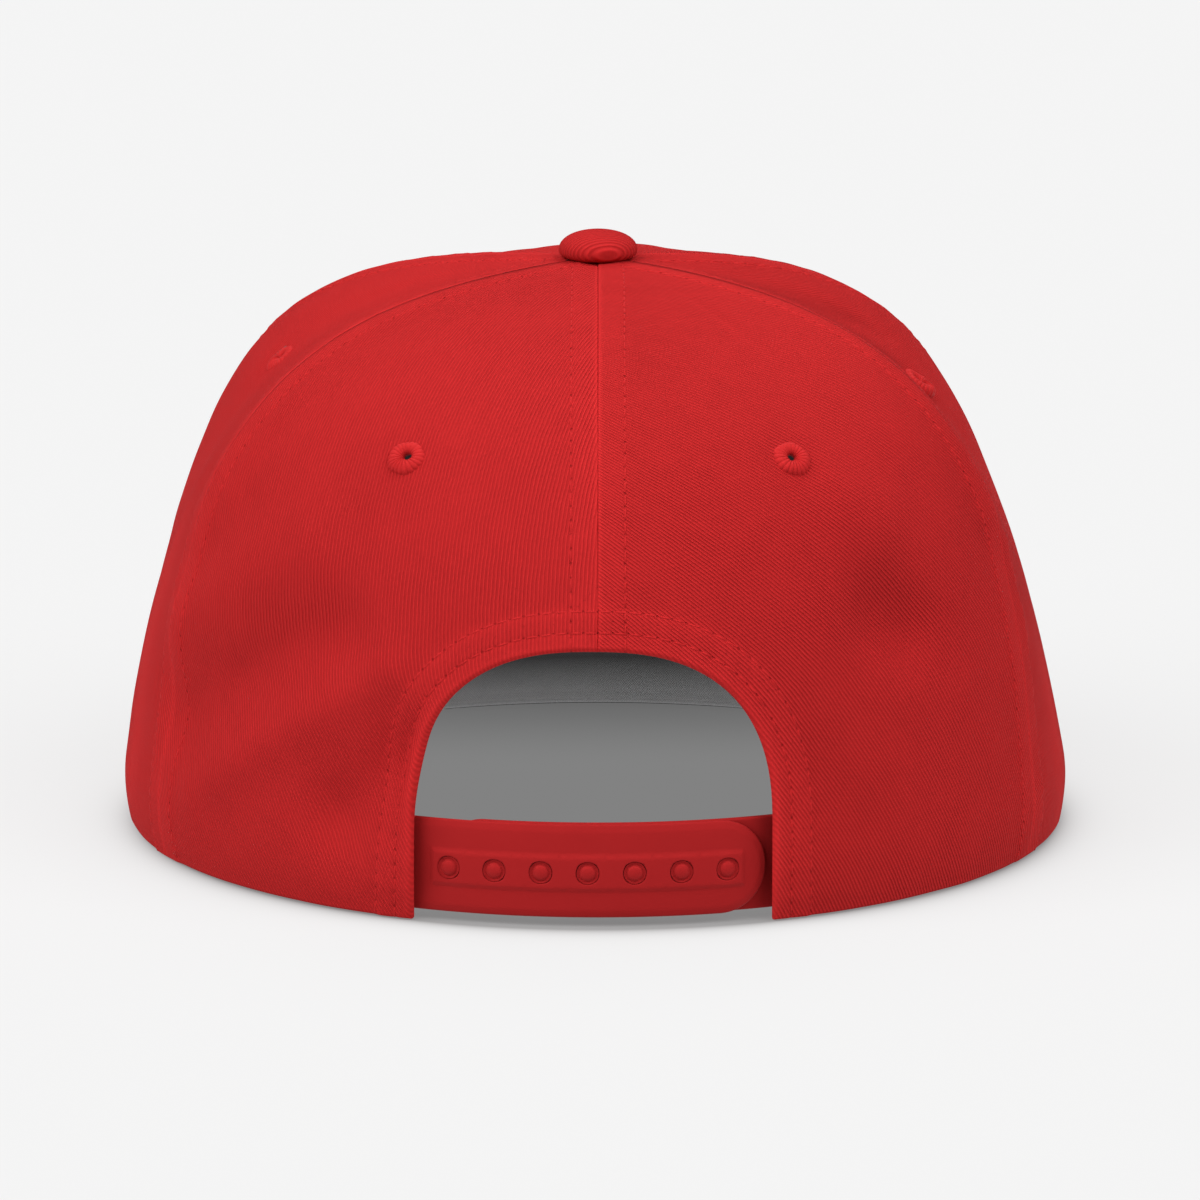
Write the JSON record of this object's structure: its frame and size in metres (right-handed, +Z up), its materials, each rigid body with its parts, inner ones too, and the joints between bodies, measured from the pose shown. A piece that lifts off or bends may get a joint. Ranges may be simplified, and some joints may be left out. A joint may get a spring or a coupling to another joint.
{
  "type": "flat bill cap",
  "caption": "Stiff high-crown cap of red twill with a flat brim, a covered button, stitched eyelets, and an arch at the back over a plastic snap strap.",
  "frame": {"origin": "bottom centre of the cap's box, on the surface that it stands on, under the front half of the crown", "axes": "+Y from the brim to the strap at the back, +X to the wearer's left, +Z up from the rim to the button"},
  "size_m": [0.1926, 0.2606, 0.1216],
  "materials": {
    "red_twill": "matte cotton twill with fine diagonal ribs",
    "red_thread": "satin stitched thread",
    "red_plastic": "moulded plastic with a soft sheen",
    "sweatband_cloth": "plain brushed cotton, worn paler along its lower edge"
  },
  "bodies": {
    "root": {"front_panel": "red_twill", "side_panel_left": "red_twill", "side_panel_right": "red_twill", "back_panel_left": "red_twill", "back_panel_right": "red_twill", "button": "red_twill", "brim": "red_twill", "eyelet_back_left": "red_thread", "eyelet_back_right": "red_thread", "eyelet_side_left": "red_thread", "eyelet_side_right": "red_thread", "strap_holes": "red_plastic", "strap_pegs": "red_plastic", "sweatband": "sweatband_cloth"}
  },
  "joints": []
}
